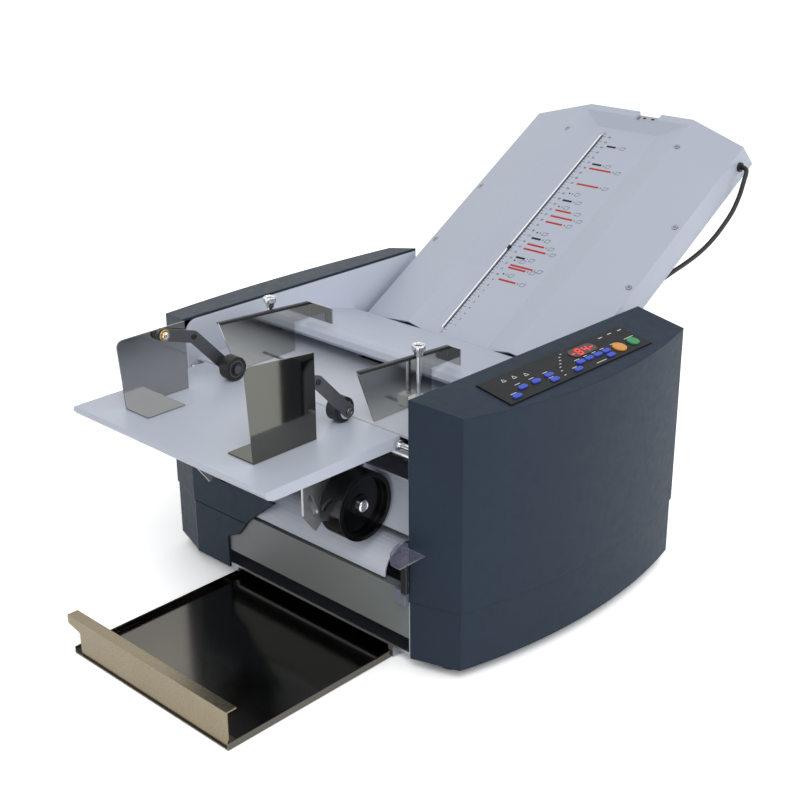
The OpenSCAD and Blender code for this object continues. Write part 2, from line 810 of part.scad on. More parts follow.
// Cross-section of the upper shell in Y and height, drawn in by a wall
module shell_section(t) {
  w = fold_half - t;
  polygon([[-w, shell_split - (t > 0 ? 1 : 0)], [-w, -t], [-ridge_y, ridge_h - t],
    [floor_near, floor_h - t], [floor_far, floor_h - t], [ridge_y, ridge_h - t],
    [w, -t], [w, shell_split - (t > 0 ? 1 : 0)]]);
}

// The upper end has a middle face that leans out and two side faces that lean back
mid_lean = atan(ridge_out / (ridge_h + fold_t));
side_n = unit(cross([-ridge_out, fold_half - ridge_y, -fold_t - ridge_h],
  [-ridge_out - side_back, fold_half - ridge_y, -ridge_h]));
module end_cut(back) {
  difference() {
    translate([-fold_down - 1, -fold_w, -fold_t - 1])
      cube([fold_down + fold_up + 50, 2 * fold_w, fold_t + ridge_h + 2]);
    translate([fold_up - back, 0, -fold_t]) rotate([0, mid_lean, 0])
      translate([0, -fold_w, -fold_t]) cube([100, 2 * fold_w, 4 * fold_t]);
    for (side = [-1, 1]) on_side(side) translate([fold_up - back, fold_half, -fold_t])
      rotate([0, -asin(side_n.z), atan2(side_n.y, side_n.x)])
        translate([0, -fold_half, -fold_half]) cube([fold_half, fold_w, fold_w]);
  }
}

slot_s0 = -88;
slot_s1 = 286;
end_rise = 18;                             // length of the slope that closes the channel
notch = [-33, 1];                          // latch notch in the upper end, across Y
notch_l = 14;
notch_h = 7;
screws = [[46, fold_half - 8], [154, fold_half - 8], [278, ridge_y + 6]];
screw_r = 4;
screw_sink = 1.2;

// Height of the shell's wing over its edge at a distance from the middle
function ridge_rise(y) = ridge_h * (fold_half - abs(y)) / (fold_half - ridge_y);

module fold_shell_upper() {
  long = fold_down + fold_up + ridge_out;
  color(pale) on_fold() difference() {
    intersection() {
      union() {
        difference() {
          along_x(-fold_down, long - fold_down) shell_section(0);
          intersection() {
            along_x(-fold_down - 1, long - fold_down) shell_section(shell_t);
            end_cut(shell_t);
          }
        }
        along_y(-ridge_y, ridge_y)
          polygon([[fold_up - end_rise, floor_h - shell_t], [fold_up - end_rise, floor_h],
            [fold_up, ridge_h], [fold_up + ridge_out, ridge_h],
            [fold_up + ridge_out, floor_h - shell_t]]);
      }
      end_cut(0);
    }
    translate([slot_s0, slot_y - slot_w / 2, -shell_t])
      cube([slot_s1 - slot_s0, slot_w, floor_h + shell_t + 1]);
    translate([fold_up + ridge_out - notch_l, notch[0], ridge_h - notch_h])
      cube([notch_l + 1, notch[1] - notch[0], notch_h + 1]);
    for (p = screws, side = [-1, 1]) translate([p.x, side * p.y, ridge_rise(p.y) - screw_sink])
      cylinder(r = screw_r, h = ridge_h);
    grommet_bore();
  }
}

module fold_shell_lower() {
  color(light) on_fold() intersection() {
    difference() {
      translate([-fold_down, -fold_half, -fold_t])
        cube([fold_down + fold_up + ridge_out, fold_w, rim_h]);
      translate([-fold_down - 1, -fold_half + shell_t, -fold_t + shell_t])
        cube([fold_down + fold_up + 1 - shell_t, fold_w - 2 * shell_t, rim_h]);
    }
    end_cut(0);
  }
}

// Sunk screw heads and the grey latch plate in the end notch
head_h = 1.6;
latch_t = 3;
module fold_screws() {
  color(steel) on_fold() {
    for (p = screws, side = [-1, 1]) translate([p.x, side * p.y, ridge_rise(p.y) - screw_sink])
      difference() {
        cylinder(r = screw_r - 0.2, h = head_h);
        for (a = [0, 90]) rotate(a) translate([0, 0, head_h])
          cube([screw_r + 0.4, 1, 1.2], center = true);
      }
    translate([fold_up + ridge_out - notch_l + 2, notch[0] + 2, ridge_h - notch_h])
      difference() {
        cube([notch_l - 5, notch[1] - notch[0] - 4, latch_t]);
        for (y = [6, 19]) translate([3, y, 1]) cube([3, 5, latch_t]);
      }
  }
}

// Stop bar inside the fold plate, with its pointer in the slot
stop_s = 60;
stop_half = 140;
stop_len = 12;
pointer_up = 3;
module fold_stop() {
  low = -fold_t + shell_t + seat;
  color("dimgray") on_fold() {
    translate([stop_s - stop_len / 2, -stop_half, low])
      cube([stop_len, 2 * stop_half, -14 - low]);
    translate([stop_s - 3, slot_y - pointer_t / 2, -14 - eps])
      cube([6, pointer_t, 14 + floor_h + pointer_up]);
  }
}

// A gear whose teeth have straight flanks, first tooth at a phase angle
module gear_2d(z, pr, phase) {
  m = pr * 2 / z;
  pitch = 360 / z;
  circle(r = pr - 1.25 * m);
  for (i = [0 : z - 1]) rotate(phase + i * pitch)
    polygon([polar(pr - 1.35 * m, -0.31 * pitch), polar(pr, -0.22 * pitch),
      polar(pr + 0.95 * m, -0.1 * pitch), polar(pr + 0.95 * m, 0.1 * pitch),
      polar(pr, 0.22 * pitch), polar(pr - 1.35 * m, 0.31 * pitch)]);
}

gear_y = frame_out + 3;
tooth_pitch = 360 / teeth;
// Phase of a gear that meshes with another one of the same size, seen along an angle
function mesh_phase(angle, phase) = 2 * angle - phase + 180 + tooth_pitch / 2;
phase_2 = 0;
phase_1 = mesh_phase(fold_angle + 90, phase_2);
phase_3 = mesh_phase(-105, phase_2);
phase_4 = mesh_phase(-165, phase_3);

module fold_roller(p, phase) {
  color(steel) {
    difference() {
      rod_y(p, pitch_r - nip_gap / 2, -roll_l / 2, roll_l / 2);
      rod_y(p, shaft_r, -roll_l, roll_l);
    }
    difference() {
      along_y(gear_y, gear_y + gear_w) translate(p) gear_2d(teeth, pitch_r, phase);
      rod_y(p, shaft_r, gear_y - 1, gear_y + gear_w + 1);
    }
    rod_y(p, shaft_r, -frame_out - 3, gear_y + gear_w + 1);
  }
}
module fold_roller_1() {
  fold_roller(roller_1, phase_1);
}
module fold_roller_2() {
  fold_roller(roller_2, phase_2);
}
module fold_roller_3() {
  fold_roller(roller_3, phase_3);
}
module fold_roller_4() {
  fold_roller(roller_4, phase_4);
}

pinion_r = pitch_r * pinion_teeth / teeth;
pinion_at = -60;
pinion_c = roller_4 + polar(pitch_r + pinion_r, pinion_at);
pinion_phase = pinion_at + 180 + 180 / pinion_teeth
  - (phase_4 - pinion_at) * teeth / pinion_teeth;
pinion_shaft_r = 4;
motor_y = gear_y + gear_w + 4;
module motor_pinion() {
  color("goldenrod") {
    along_y(gear_y, gear_y + gear_w) translate(pinion_c)
      gear_2d(pinion_teeth, pinion_r, pinion_phase);
    rod_y(pinion_c, pinion_shaft_r, gear_y + gear_w - eps, motor_y + 10);
  }
}

// Motor on three posts that stand on the far side frame
post_r = 4;
module drive_motor() {
  color("gray") difference() {
    union() {
      rod_y(pinion_c, motor_r, motor_y, motor_y + motor_l);
      for (a = [-90, -30, 210]) rod_y(pinion_c + polar(motor_r - post_r - 1, a), post_r,
        frame_out, motor_y + eps);
    }
    rod_y(pinion_c, pinion_shaft_r + bore_gap, motor_y - 1, motor_y + 10 + seat);
  }
}

// Second fold plate: a flat pocket that climbs forward under the feed table
second_angle = 165;
second_gap = 3;
second_sheet = 1.2;
second_off = 36;
module second_fold_plate() {
  color(steel) slanted((roller_2 + roller_3) / 2, second_angle)
    along_y(-wall_in, wall_in) difference() {
      translate([second_off, -second_gap / 2 - second_sheet])
        square([second_l, second_gap + 2 * second_sheet]);
      translate([second_off - 1, -second_gap / 2])
        square([second_l - second_sheet + 1, second_gap]);
    }
}

// ---------- delivery ----------

wheel_c = [-205, 178];
wheel_rim = 5;
wheel_web = 22;
bracket_y = wheel_y - wheel_w - bracket_t - seat;
module delivery_wheels() {
  color(black) {
    for (side = [-1, 1]) on_side(side) difference() {
      rod_y(wheel_c, wheel_r, wheel_y - wheel_w, wheel_y);
      difference() {
        rod_y(wheel_c, wheel_r - wheel_rim, wheel_y - wheel_w + wheel_web, wheel_y + 1);
        rod_y(wheel_c, drive_shaft_r + 7, 0, wheel_y - 6);
      }
      rod_y(wheel_c, drive_shaft_r, 0, wheel_y + 1);
    }
    rod_y(wheel_c, drive_shaft_r, -wheel_y + 4, wheel_y - 4);
  }
}

bracket_slot = [[-257, 197], [-250, 178]];
module wheel_brackets() {
  color(steel) for (side = [-1, 1]) on_side(side) difference() {
    along_y(bracket_y, bracket_y + bracket_t) difference() {
      union() {
        polygon([front_bar + [-12, 12], front_bar + [12, 12], front_bar + [12, -10],
          wheel_c + [14, -6], wheel_c + [6, -14], wheel_c + [-8, -14], [-236, 168],
          [-250, 156], [-267, 179], [-267, 226], [-254, 238]]);
      }
      bar_2d(bracket_slot[0], bracket_slot[1], 7);
      translate(front_bar) circle(r = bar_r);
    }
    rod_y(wheel_c, drive_shaft_r + bore_gap, bracket_y - 1, bracket_y + bracket_t + 1);
  }
}

// Curved guide behind the wheels and the deck that runs under them
chute_r = wheel_r + 6;
chute_from = -48;
chute_to = 36;
deck_z = wheel_c.y - wheel_r - 6;
lip_r = 32;                                // bend of the deck's front lip
lip_c = [-body_front + 3 + lip_r, deck_z - 2 - lip_r];
deck_line = concat([[52, deck_z - 5], [46, deck_z - 18], [-140, deck_z - 2]],
  [for (a = [90 : 10 : 180]) lip_c + polar(lip_r, a)]);
deck_under = concat([for (a = [180 : -10 : 90]) lip_c + polar(lip_r - deck_t, a)],
  [[-140, deck_z - 2 - deck_t], [46, deck_z - 18 - deck_t], [52, deck_z - 5 - deck_t]]);
strip_rise = 13.9 / 210;
strip_x = [20, -150];
module sheet_line(points, t) {
  polygon(concat(points, [for (i = [len(points) - 1 : -1 : 0]) points[i] - [0, t]]));
}
module delivery_guides() {
  color(light) {
    along_y(-wall_in, wall_in) intersection() {
      difference() {
        translate(wheel_c) circle(r = chute_r + deck_t, $fn = 120);
        translate(wheel_c) circle(r = chute_r, $fn = 120);
      }
      polygon([wheel_c, wheel_c + polar(80, chute_from),
        wheel_c + polar(80, (chute_from + chute_to) / 2), wheel_c + polar(80, chute_to)]);
    }
    along_y(-deck_half, deck_half) polygon(concat(deck_line, deck_under));
    for (side = [-1, 1]) on_side(side) along_y(deck_half, wall_in)
      sheet_line([[strip_x[0], deck_z - 15.9],
        [strip_x[1], deck_z - 15.9 + (strip_x[0] - strip_x[1]) * strip_rise]], deck_t);
  }
}

// Clear corner guide beside the exit, on a clamp that slides along the apron's top
exit_z = 150;
exit_front = -body_front - 2.5;            // it passes this far in front of the covers
exit_fold = -wall_out;
exit_edge = exit_fold - 25;
exit_clamp = [-wall_in + 0.5, -wall_in + 16.5];
module exit_guide() {
  apron_x = wall_x0 - seat;
  color(chrome) {
    translate([exit_front, exit_clamp[0], apron_z1 - 15])
      cube([apron_x - exit_front, exit_clamp[1] - exit_clamp[0], 15 + seat + plate_t]);
    translate([exit_front, exit_clamp[0], apron_z1 + seat])
      cube([wall_x0 + apron_back - 2 - exit_front, exit_clamp[1] - exit_clamp[0], plate_t]);
    translate([exit_front - 3.5, exit_fold - plate_t, apron_z1 + seat])
      cube([3.5 + eps, exit_clamp[0] + 3 - exit_fold + plate_t, exit_z - apron_z1 - seat + plate_t]);
    along_y(exit_fold - plate_t, exit_fold)
      polygon([[exit_front, exit_z], [exit_front, exit_z + 7], [exit_front - 12, exit_z + 12],
        [exit_front - 20, exit_z + 10], [exit_front - 26, exit_z + 5], [exit_front - 26, exit_z]]);
    translate([0, 0, exit_z]) linear_extrude(plate_t)
      polygon([[exit_front, exit_fold], [exit_front - 26, exit_fold],
        [exit_front - 37, exit_fold - 12], [exit_front - 38, exit_edge], [exit_front, exit_edge]]);
  }
}

stack_x0 = -stack_out;
stack_x1 = max(stack_x0 + stack_l, -body_front + runner_l / 3);
stack_long = stack_x1 - stack_x0;
module stacker_tray() {
  color(chrome) {
    translate([stack_x0, -stack_near, 0]) cube([stack_long, stack_near + stack_far, plate_t]);
    for (y = [-stack_near, stack_far - plate_t])
      translate([stack_x0, y, plate_t]) cube([stack_long, plate_t, rail_h - plate_t]);
  }
}

stop_notch_y = 10;
stop_notch_z = 28;
stop_over = 12;
stop_at = 2;
module stop_plate() {
  z0 = plate_t + seat;
  near_edge = -stack_near + plate_t + seat + 0.5;
  x0 = stack_x0 + stop_at;
  color(chrome) {
    along_x(x0, x0 + plate_t)
      polygon([[near_edge, z0], [stack_far - stop_notch_y, z0],
        [stack_far - stop_notch_y, stop_notch_z], [stack_far + stop_over, stop_notch_z + 5],
        [stack_far + stop_over, stop_h], [near_edge, stop_h]]);
    translate([x0 + plate_t, near_edge, stop_h - plate_t])
      cube([stop_fold, stack_far + stop_over - near_edge, plate_t]);
    translate([x0 + plate_t, near_edge, z0])
      cube([stop_fold, stack_far - stop_notch_y - near_edge, plate_t]);
  }
}

// ---------- cable ----------

grommet_at = [292, -18];                   // place on the fold plate's near side
grommet_r = 6;
grommet_neck = 4.5;
grommet_head = 3;
grommet_l = 9;
module grommet_bore() {
  translate([grommet_at.x, -fold_half - 1, grommet_at.y])
    rotate([-90, 0, 0]) cylinder(r = grommet_neck, h = shell_t + 2);
}

// Two grommets: one in the fold plate's side and one in the rear of the chassis
module cable_grommets() {
  color(black) {
    on_fold() translate([grommet_at.x, -fold_half, grommet_at.y]) rotate([-90, 0, 0]) {
      translate([0, 0, -grommet_head]) cylinder(r = grommet_r, h = grommet_head);
      cylinder(r = grommet_neck, h = grommet_l);
    }
    translate([body_back, cable_hole.x, cable_hole.y]) rotate([0, 90, 0]) {
      cylinder(r = grommet_r, h = grommet_head);
      translate([0, 0, -rear_t - 2]) cylinder(r = grommet_neck, h = rear_t + 2);
    }
  }
}

// Route of the cable from one grommet to the other, measured from the model's origin
cable_route = [[414.6, -159.1, 443], [414, -164, 442.8], [411, -168.5, 441],
  [406.5, -171, 437], [402, -172, 431], [399, -172, 424], [396.5, -171, 414],
  [393, -169.5, 404], [388, -168, 394], [381.5, -166, 384.5], [372, -163, 373],
  [361, -160, 362], [347, -156.5, 351.5], [331, -152.5, 342.5], [313, -148.5, 335],
  [294, -144, 328], [275, -138, 319], [257, -130, 307], [240, -120, 291],
  [225, -109, 273.5], [211, -99.5, 257], [200, -93.5, 245], [192, -91.3, 238.5],
  [183.1, -91, 236]];
ring_n = 8;
function unit(v) = v / norm(v);
function tangent(pts, i) = unit(pts[min(i + 1, len(pts) - 1)] - pts[max(i - 1, 0)]);
function ring(c, t, r) =
  let (a = unit(cross(t, [0.2, 0.1, 1])), b = cross(t, a))
  [for (k = [0 : ring_n - 1]) c + r * (cos(360 * k / ring_n) * a + sin(360 * k / ring_n) * b)];
// Smooth curve through the route's points
function blend(p, q, r, s, u) = 0.5 * ((2 * q) + (r - p) * u
  + (2 * p - 5 * q + 4 * r - s) * u * u + (3 * q - p - 3 * r + s) * u * u * u);
steps = 2;
last = len(cable_route) - 1;
cable_line = concat([for (i = [0 : last - 1], k = [0 : steps - 1])
  blend(cable_route[max(i - 1, 0)], cable_route[i], cable_route[i + 1],
    cable_route[min(i + 2, last)], k / steps)], [cable_route[last]]);
module cable() {
  n = len(cable_line);
  points = [for (i = [0 : n - 1])
    each ring(cable_line[i],
      i == 0 ? [0, -1, 0] : i == n - 1 ? [-1, 0, 0] : tangent(cable_line, i), cable_d / 2)];
  sides = [for (i = [0 : n - 2], k = [0 : ring_n - 1])
    let (a = i * ring_n + k, b = i * ring_n + (k + 1) % ring_n)
    each [[a, b, b + ring_n], [a, b + ring_n, a + ring_n]]];
  ends = [[for (k = [ring_n - 1 : -1 : 0]) k], [for (k = [0 : ring_n - 1]) (n - 1) * ring_n + k]];
  color(black) polyhedron(points, concat(sides, ends));
}

at_origin() base_plate();
at_origin() rubber_feet();
at_origin() side_frames();
at_origin() tie_bars();
at_origin() cover_near_upper();
at_origin() cover_near_lower();
at_origin() cover_far_upper();
at_origin() cover_far_lower();
at_origin() inner_walls();
at_origin() front_apron();
at_origin() keypad_plate();
at_origin() number_window();
at_origin() circuit_board();
at_origin() blue_key(0);  // key_1
at_origin() blue_key(1);  // key_2
at_origin() blue_key(2);  // key_3
at_origin() blue_key(3);  // key_4
at_origin() blue_key(4);  // key_5
at_origin() blue_key(5);  // key_6
at_origin() blue_key(6);  // key_7
at_origin() blue_key(7);  // key_8
at_origin() blue_key(8);  // key_9
at_origin() blue_key(9);  // key_10
at_origin() blue_key(10);  // key_11
at_origin() stop_key();
at_origin() start_key();
at_origin() feed_hood();
at_origin() feed_table();
at_origin() separator_pad();
at_origin() feed_roller();
at_origin() fold_roller_1();
at_origin() fold_roller_2();
at_origin() fold_roller_3();
at_origin() fold_roller_4();
at_origin() drive_motor();
at_origin() motor_pinion();
at_origin() second_fold_plate();
at_origin() delivery_wheels();
at_origin() wheel_brackets();
at_origin() delivery_guides();
at_origin() exit_guide();
at_origin() fold_shell_upper();
at_origin() fold_shell_lower();
at_origin() fold_screws();
at_origin() fold_stop();
at_origin() cable_grommets();
cable();
at_origin() feed_tray();
at_origin() tray_guide_near();
at_origin() tray_guide_far();
at_origin() roller_arm_near();
at_origin() roller_arm_far();
at_origin() paper_roller_near();
at_origin() paper_roller_far();
at_origin() front_guide_near();
at_origin() front_guide_far();
at_origin() clamp_knob_near();
at_origin() clamp_knob_far();
at_origin() stacker_tray();
at_origin() stop_plate();
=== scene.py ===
import math

import bmesh
import bpy
from mathutils import Matrix, Vector


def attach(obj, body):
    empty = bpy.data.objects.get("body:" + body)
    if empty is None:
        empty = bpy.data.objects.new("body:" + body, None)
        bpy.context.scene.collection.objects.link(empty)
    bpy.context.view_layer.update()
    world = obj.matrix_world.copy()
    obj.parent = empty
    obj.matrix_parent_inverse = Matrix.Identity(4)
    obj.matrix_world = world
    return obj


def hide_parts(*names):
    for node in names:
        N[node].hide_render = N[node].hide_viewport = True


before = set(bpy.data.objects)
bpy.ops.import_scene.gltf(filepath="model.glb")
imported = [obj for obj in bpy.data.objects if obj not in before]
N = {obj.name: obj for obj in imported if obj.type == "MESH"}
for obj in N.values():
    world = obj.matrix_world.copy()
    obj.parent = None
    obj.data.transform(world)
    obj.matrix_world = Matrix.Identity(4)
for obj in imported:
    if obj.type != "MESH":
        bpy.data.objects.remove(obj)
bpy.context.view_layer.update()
scene = bpy.context.scene

# The model's origin in the body's own millimetres
MX, MY = 15.9889, -8.9503
WALL_OUT = 181              # half width over the inner walls, where the covers begin
COVER_TOP = 318             # height of the covers' inner top edge
SHARP = math.radians(35)    # edges sharper than this are kept or bevelled


def P(x, y, z):
    """A point given in the body's millimetres, in metres from the model's origin."""
    return Vector(((x - MX) / 1000, (y - MY) / 1000, z / 1000))


# ---------- camera ----------
# The photograph's viewing angle, from points of the machine found in it
SENSOR = 36                 # sensor width, in millimetres
FOCAL_PX, FRAME_PX = 1413.445, 800
AIM, DISTANCE = P(1.768, 26.244, 197.886), 1.73178
az, el, roll = math.radians(-46.279), math.radians(22.448), math.radians(-0.368)
back = Vector((math.sin(az) * math.cos(el), -math.cos(az) * math.cos(el), math.sin(el)))
across = Vector((math.cos(az), math.sin(az), 0))
up = back.cross(across)
cam_r = math.cos(roll) * across + math.sin(roll) * up
cam_u = -math.sin(roll) * across + math.cos(roll) * up
cam_at = AIM + back * DISTANCE
cam_data = bpy.data.cameras.new("camera")
cam_data.sensor_width = SENSOR
cam_data.lens = SENSOR * FOCAL_PX / FRAME_PX
cam = bpy.data.objects.new("camera", cam_data)
scene.collection.objects.link(cam)
cam.matrix_world = Matrix((
    (cam_r.x, cam_u.x, back.x, cam_at.x), (cam_r.y, cam_u.y, back.y, cam_at.y),
    (cam_r.z, cam_u.z, back.z, cam_at.z), (0, 0, 0, 1)))
scene.camera = cam


# ---------- materials ----------
def lin(r, g, b):
    """A colour as it should look, from 0 to 255 values, as the shader wants it."""
    def linear(c):
        return c / 12.92 if c <= 0.04045 else ((c + 0.055) / 1.055) ** 2.4
    return tuple(linear(c / 255) for c in (r, g, b)) + (1.0,)


def new_mat(name):
    """A material, its node tree and its shader."""
    m = bpy.data.materials.new(name)
    m.use_nodes = True
    nt = m.node_tree
    p = nt.nodes["Principled BSDF"]
    return m, nt, p


def node(nt, kind, **values):
    """A node, with values set on its sockets or on itself."""
    n = nt.nodes.new(kind)
    for k, v in values.items():
        if k in n.inputs:
            n.inputs[k].default_value = v
        else:
            setattr(n, k, v)
    return n


def coords(nt, scale=(1, 1, 1)):
    """The object's own coordinates, drawn out or squeezed along an axis."""
    tc = node(nt, "ShaderNodeTexCoord")
    mp = node(nt, "ShaderNodeMapping")
    mp.inputs["Scale"].default_value = scale
    nt.links.new(tc.outputs["Object"], mp.inputs["Vector"])
    return mp.outputs["Vector"]


def noise(nt, vec, scale, detail=3.0, rough=0.5):
    """Noise from 0 to 1, with scale counted per metre."""
    n = node(nt, "ShaderNodeTexNoise")
    n.inputs["Scale"].default_value = scale
    n.inputs["Detail"].default_value = detail
    n.inputs["Roughness"].default_value = rough
    nt.links.new(vec, n.inputs["Vector"])
    return n.outputs["Fac"]


def ramp(nt, fac, low, high, a, b):
    """Maps fac from low..high onto a..b."""
    m = node(nt, "ShaderNodeMapRange")
    m.inputs["From Min"].default_value = low
    m.inputs["From Max"].default_value = high
    m.inputs["To Min"].default_value = a
    m.inputs["To Max"].default_value = b
    nt.links.new(fac, m.inputs["Value"])
    return m.outputs["Result"]


def mix_colour(nt, fac, a, b):
    """Colour a where fac is 0 and colour b where it is 1."""
    m = node(nt, "ShaderNodeMix", data_type="RGBA")
    nt.links.new(fac, m.inputs[0])
    m.inputs[6].default_value = a
    m.inputs[7].default_value = b
    return m.outputs[2]


def bump(nt, height, strength, distance, soft=0.0):
    """A normal raised by height, with edges that look rounded by soft metres."""
    b = node(nt, "ShaderNodeBump")
    b.inputs["Strength"].default_value = strength
    b.inputs["Distance"].default_value = distance
    nt.links.new(height, b.inputs["Height"])
    if soft:
        bev = node(nt, "ShaderNodeBevel", samples=6)
        bev.inputs["Radius"].default_value = soft
        nt.links.new(bev.outputs["Normal"], b.inputs["Normal"])
    return b.outputs["Normal"]


def plastic(name, colour, shade=0.93, rough=(0.42, 0.52), grain=900, grain_h=0.00006,
            grain_s=0.25, soft=0.0012, blotch=9, spec=0.5):
    """Moulded plastic: faint colour drift, uneven gloss and a fine moulded grain."""
    m, nt, p = new_mat(name)
    vec = coords(nt)
    big = noise(nt, vec, blotch, 4, 0.55)
    dark = tuple(c * shade for c in colour[:3]) + (1.0,)
    nt.links.new(mix_colour(nt, ramp(nt, big, 0.3, 0.7, 0, 1), dark, colour),
                 p.inputs["Base Color"])
    mid = noise(nt, vec, blotch * 11, 5, 0.6)
    nt.links.new(ramp(nt, mid, 0.3, 0.7, *rough), p.inputs["Roughness"])
    p.inputs["Specular IOR Level"].default_value = spec
    fine = noise(nt, vec, grain, 2, 0.5)
    nt.links.new(bump(nt, fine, grain_s, grain_h, soft), p.inputs["Normal"])
    return m


def metal(name, colour, rough=(0.16, 0.26), brush=(1, 1, 1), scale=400, depth=0.00001,
          strength=0.3, soft=0.0004, shade=0.9):
    """Metal with fine marks drawn out along one axis."""
    m, nt, p = new_mat(name)
    p.inputs["Metallic"].default_value = 1.0
    vec = coords(nt, brush)
    streak = noise(nt, vec, scale, 4, 0.6)
    plain = coords(nt)
    cloud = noise(nt, plain, 14, 4, 0.6)
    dark = tuple(c * shade for c in colour[:3]) + (1.0,)
    nt.links.new(mix_colour(nt, ramp(nt, cloud, 0.3, 0.7, 0, 1), dark, colour),
                 p.inputs["Base Color"])
    nt.links.new(ramp(nt, streak, 0.3, 0.7, *rough), p.inputs["Roughness"])
    nt.links.new(bump(nt, streak, strength, depth, soft), p.inputs["Normal"])
    return m


M = {}
M["dark"] = plastic("dark_shell", lin(41, 54, 68), 0.9, (0.46, 0.58), 1100, 0.00008, 0.35,
                    0.0022, spec=0.16)
M["pale"] = plastic("light_shell", lin(190, 197, 212), 0.975, (0.36, 0.46), 1500, 0.00003, 0.2,
                    0.0014)
M["wall"] = plastic("wall_shell", lin(210, 216, 229), 0.975, (0.38, 0.48), 1500, 0.00003, 0.2,
                    0.0014)
M["tray"] = plastic("tray_shell", lin(198, 205, 219), 0.975, (0.34, 0.44), 1500, 0.00003, 0.2,
                    0.0012)
M["sheet"] = plastic("painted_sheet", lin(205, 210, 220), 0.97, (0.30, 0.42), 700, 0.00003, 0.2,
                     0.0006)
M["apron"] = plastic("apron_shell", lin(132, 137, 136), 0.95, (0.40, 0.52), 1300, 0.00004, 0.25,
                     0.0012)
M["steel"] = metal("plated_steel", lin(176, 178, 182), (0.28, 0.40), (1, 12, 1), 160)
M["mirror"] = metal("bright_steel", lin(186, 186, 182), (0.07, 0.15), (1, 1, 9), 220,
                    0.000004, 0.25, 0.0003, 0.95)
# The two tray guides are the same steel in two colours: the near one is darker than the far one,
# which is painted shade standing for the dark reflection it shows
M["plate"] = metal("near_plate_steel_painted_dark", lin(98, 98, 93), (0.05, 0.11), (1, 1, 9), 220,
                   0.000003, 0.2, 0.0003, 0.95)
M["far_plate"] = metal("far_plate_steel", lin(150, 151, 152), (0.05, 0.11), (1, 1, 9), 220,
                       0.000003, 0.2, 0.0003, 0.95)
M["tray_steel"] = metal("tray_steel", lin(98, 95, 89), (0.10, 0.20), (9, 1, 1), 220,
                        0.000004, 0.25, 0.0003, 0.93)
M["stop_steel"] = metal("stop_steel", lin(140, 130, 109), (0.20, 0.34), (1, 9, 1), 200,
                        0.000006, 0.3, 0.0004, 0.86)
M["chrome"] = metal("polished_chrome", lin(222, 222, 225), (0.05, 0.12), (1, 1, 5), 300,
                    0.000003, 0.2, 0.0004, 0.96)
M["brass"] = metal("turned_brass", lin(206, 168, 96), (0.2, 0.32), (1, 1, 6), 300)
M["arm"] = metal("arm_steel", lin(104, 106, 110), (0.42, 0.54), (1, 10, 1), 180)
M["hub"] = metal("roller_hub", lin(112, 114, 110), (0.22, 0.34), (1, 1, 1), 260)
M["rubber"] = plastic("black_rubber", lin(26, 26, 28), 0.8, (0.62, 0.78), 1600, 0.0001, 0.4,
                      0.0008)
M["tyre"] = plastic("tyre_rubber", lin(24, 24, 26), 0.85, (0.48, 0.6), 1400, 0.00005, 0.3,
                    0.0012)
M["gloss"] = plastic("black_gloss", lin(10, 10, 12), 0.8, (0.10, 0.20), 500, 0.00001, 0.15,
                     0.0012, spec=0.3)
M["panel"] = plastic("keypad_black", lin(20, 21, 24), 0.85, (0.34, 0.42), 1600, 0.00002, 0.2,
                     0.0006, spec=0.16)
M["black"] = plastic("black_part", lin(26, 26, 28), 0.85, (0.4, 0.5), 1200, 0.00003, 0.25,
                     0.0006)
M["blue"] = plastic("key_blue", lin(66, 92, 212), 0.9, (0.32, 0.42), 2000, 0.00002, 0.2,
                    0.0008, spec=0.25)
M["orange"] = plastic("key_orange", lin(232, 160, 62), 0.92, (0.32, 0.42), 2000, 0.00002, 0.2,
                      0.0008)
M["green"] = plastic("key_green", lin(44, 150, 88), 0.9, (0.32, 0.42), 2000, 0.00002, 0.2,
                     0.0008)
M["board"] = plastic("board_green", lin(20, 84, 48), 0.8, (0.3, 0.5), 600, 0.00003, 0.3, 0.0003)
M["cork"] = plastic("brown_pad", lin(120, 82, 52), 0.75, (0.7, 0.85), 700, 0.0001, 0.5, 0.0006)
M["white"] = plastic("white_block", lin(226, 228, 230), 0.97, (0.42, 0.5), 1200, 0.00003, 0.2,
                     0.0006)
M["cable"] = plastic("cable_black", lin(22, 22, 24), 0.85, (0.4, 0.52), 900, 0.00004, 0.3, 0.0)
M["window"] = plastic("window_red", lin(48, 8, 12), 0.8, (0.08, 0.14), 300, 0.00001, 0.1, 0.0006)
M["mark"] = plastic("printed_white", lin(224, 226, 228), 0.97, (0.5, 0.6), 900, 0.00001, 0.1, 0.0)
M["ink"] = plastic("printed_black", lin(30, 30, 34), 0.9, (0.5, 0.6), 900, 0.00001, 0.1, 0.0,
                   spec=0.2)
M["red"] = plastic("printed_red", lin(198, 62, 56), 0.9, (0.5, 0.6), 900, 0.00001, 0.1, 0.0,
                   spec=0.2)
M["clamp_grey"] = plastic("clamp_grey", lin(128, 132, 146), 0.93, (0.36, 0.46), 1100,
                          0.00005, 0.3, 0.0014)
M["screw"] = metal("plated_screw", lin(150, 152, 158), (0.2, 0.3), (1, 1, 1), 300)


def led(name, colour, power):
    """A lit figure, glowing a little unevenly."""
    m, nt, p = new_mat(name)
    p.inputs["Base Color"].default_value = colour
    p.inputs["Emission Color"].default_value = colour
    f = noise(nt, coords(nt), 900, 2, 0.5)
    nt.links.new(ramp(nt, f, 0.2, 0.8, power * 0.85, power), p.inputs["Emission Strength"])
    return m


M["led"] = led("led_red", lin(255, 44, 34), 1.6)


